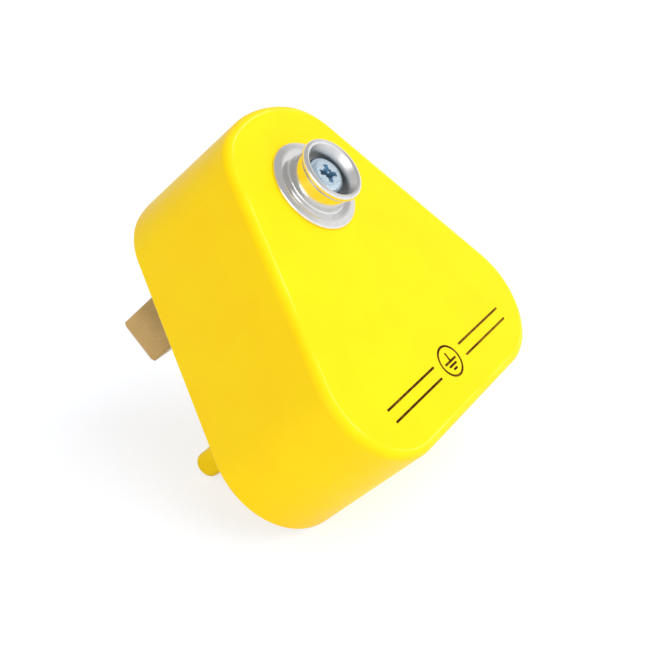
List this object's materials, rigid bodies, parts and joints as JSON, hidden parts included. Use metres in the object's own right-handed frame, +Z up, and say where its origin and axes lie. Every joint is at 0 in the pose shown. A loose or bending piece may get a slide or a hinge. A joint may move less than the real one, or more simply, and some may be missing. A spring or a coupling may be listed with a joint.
{
  "type": "earth bonding plug",
  "caption": "Three-pin earth bonding plug: a yellow moulded body with one metal earth pin, plastic dummy pins and a press stud on its face for a static-dissipative cord.",
  "frame": {"origin": "centre of the underside of the bounding box, on the surface that the plug rests on", "axes": "+Z up as the plug rests on the ends of its two dummy pins and its lower back edge; -Y the way the front face looks, leaning back; +X to the right of someone who faces the front"},
  "size_m": [0.052, 0.0618, 0.0535],
  "materials": {
    "cover_plastic": "satin injection moulding",
    "base_plastic": "satin injection moulding",
    "pin_brass": "drawn brass, dull",
    "clamp_screw_steel": "zinc plated",
    "stud_nickel": "bright nickel plate",
    "stud_screw_zinc": "blue-passivated zinc plate",
    "washer_zinc": "zinc plated",
    "terminal_tin": "tinned copper",
    "terminal_vinyl": "soft vinyl",
    "lock_washer_zinc": "zinc plated",
    "nut_zinc": "zinc plated",
    "resistor_lacquer": "lacquered, colour banded",
    "lead_tin_stud": "tinned wire",
    "lead_tin_earth": "tinned wire",
    "sleeve_vinyl": "soft vinyl tube",
    "cover_screw_steel": "zinc plated",
    "washer_fibre": "pressed fibre",
    "insert_brass": "turned brass"
  },
  "bodies": {
    "root": {"cover": "cover_plastic", "base": "base_plastic", "earth_pin": "pin_brass", "earth_clamp_screw": "clamp_screw_steel", "press_stud": "stud_nickel", "stud_screw": "stud_screw_zinc", "flat_washer": "washer_zinc", "ring_terminal": "terminal_tin", "terminal_insulator": "terminal_vinyl", "lock_washer": "lock_washer_zinc", "stud_nut": "nut_zinc", "resistor_body": "resistor_lacquer", "resistor_lead_stud": "lead_tin_stud", "resistor_lead_earth": "lead_tin_earth", "lead_sleeve": "sleeve_vinyl", "cover_screw": "cover_screw_steel", "captive_washer": "washer_fibre", "threaded_insert": "insert_brass"}
  },
  "joints": []
}
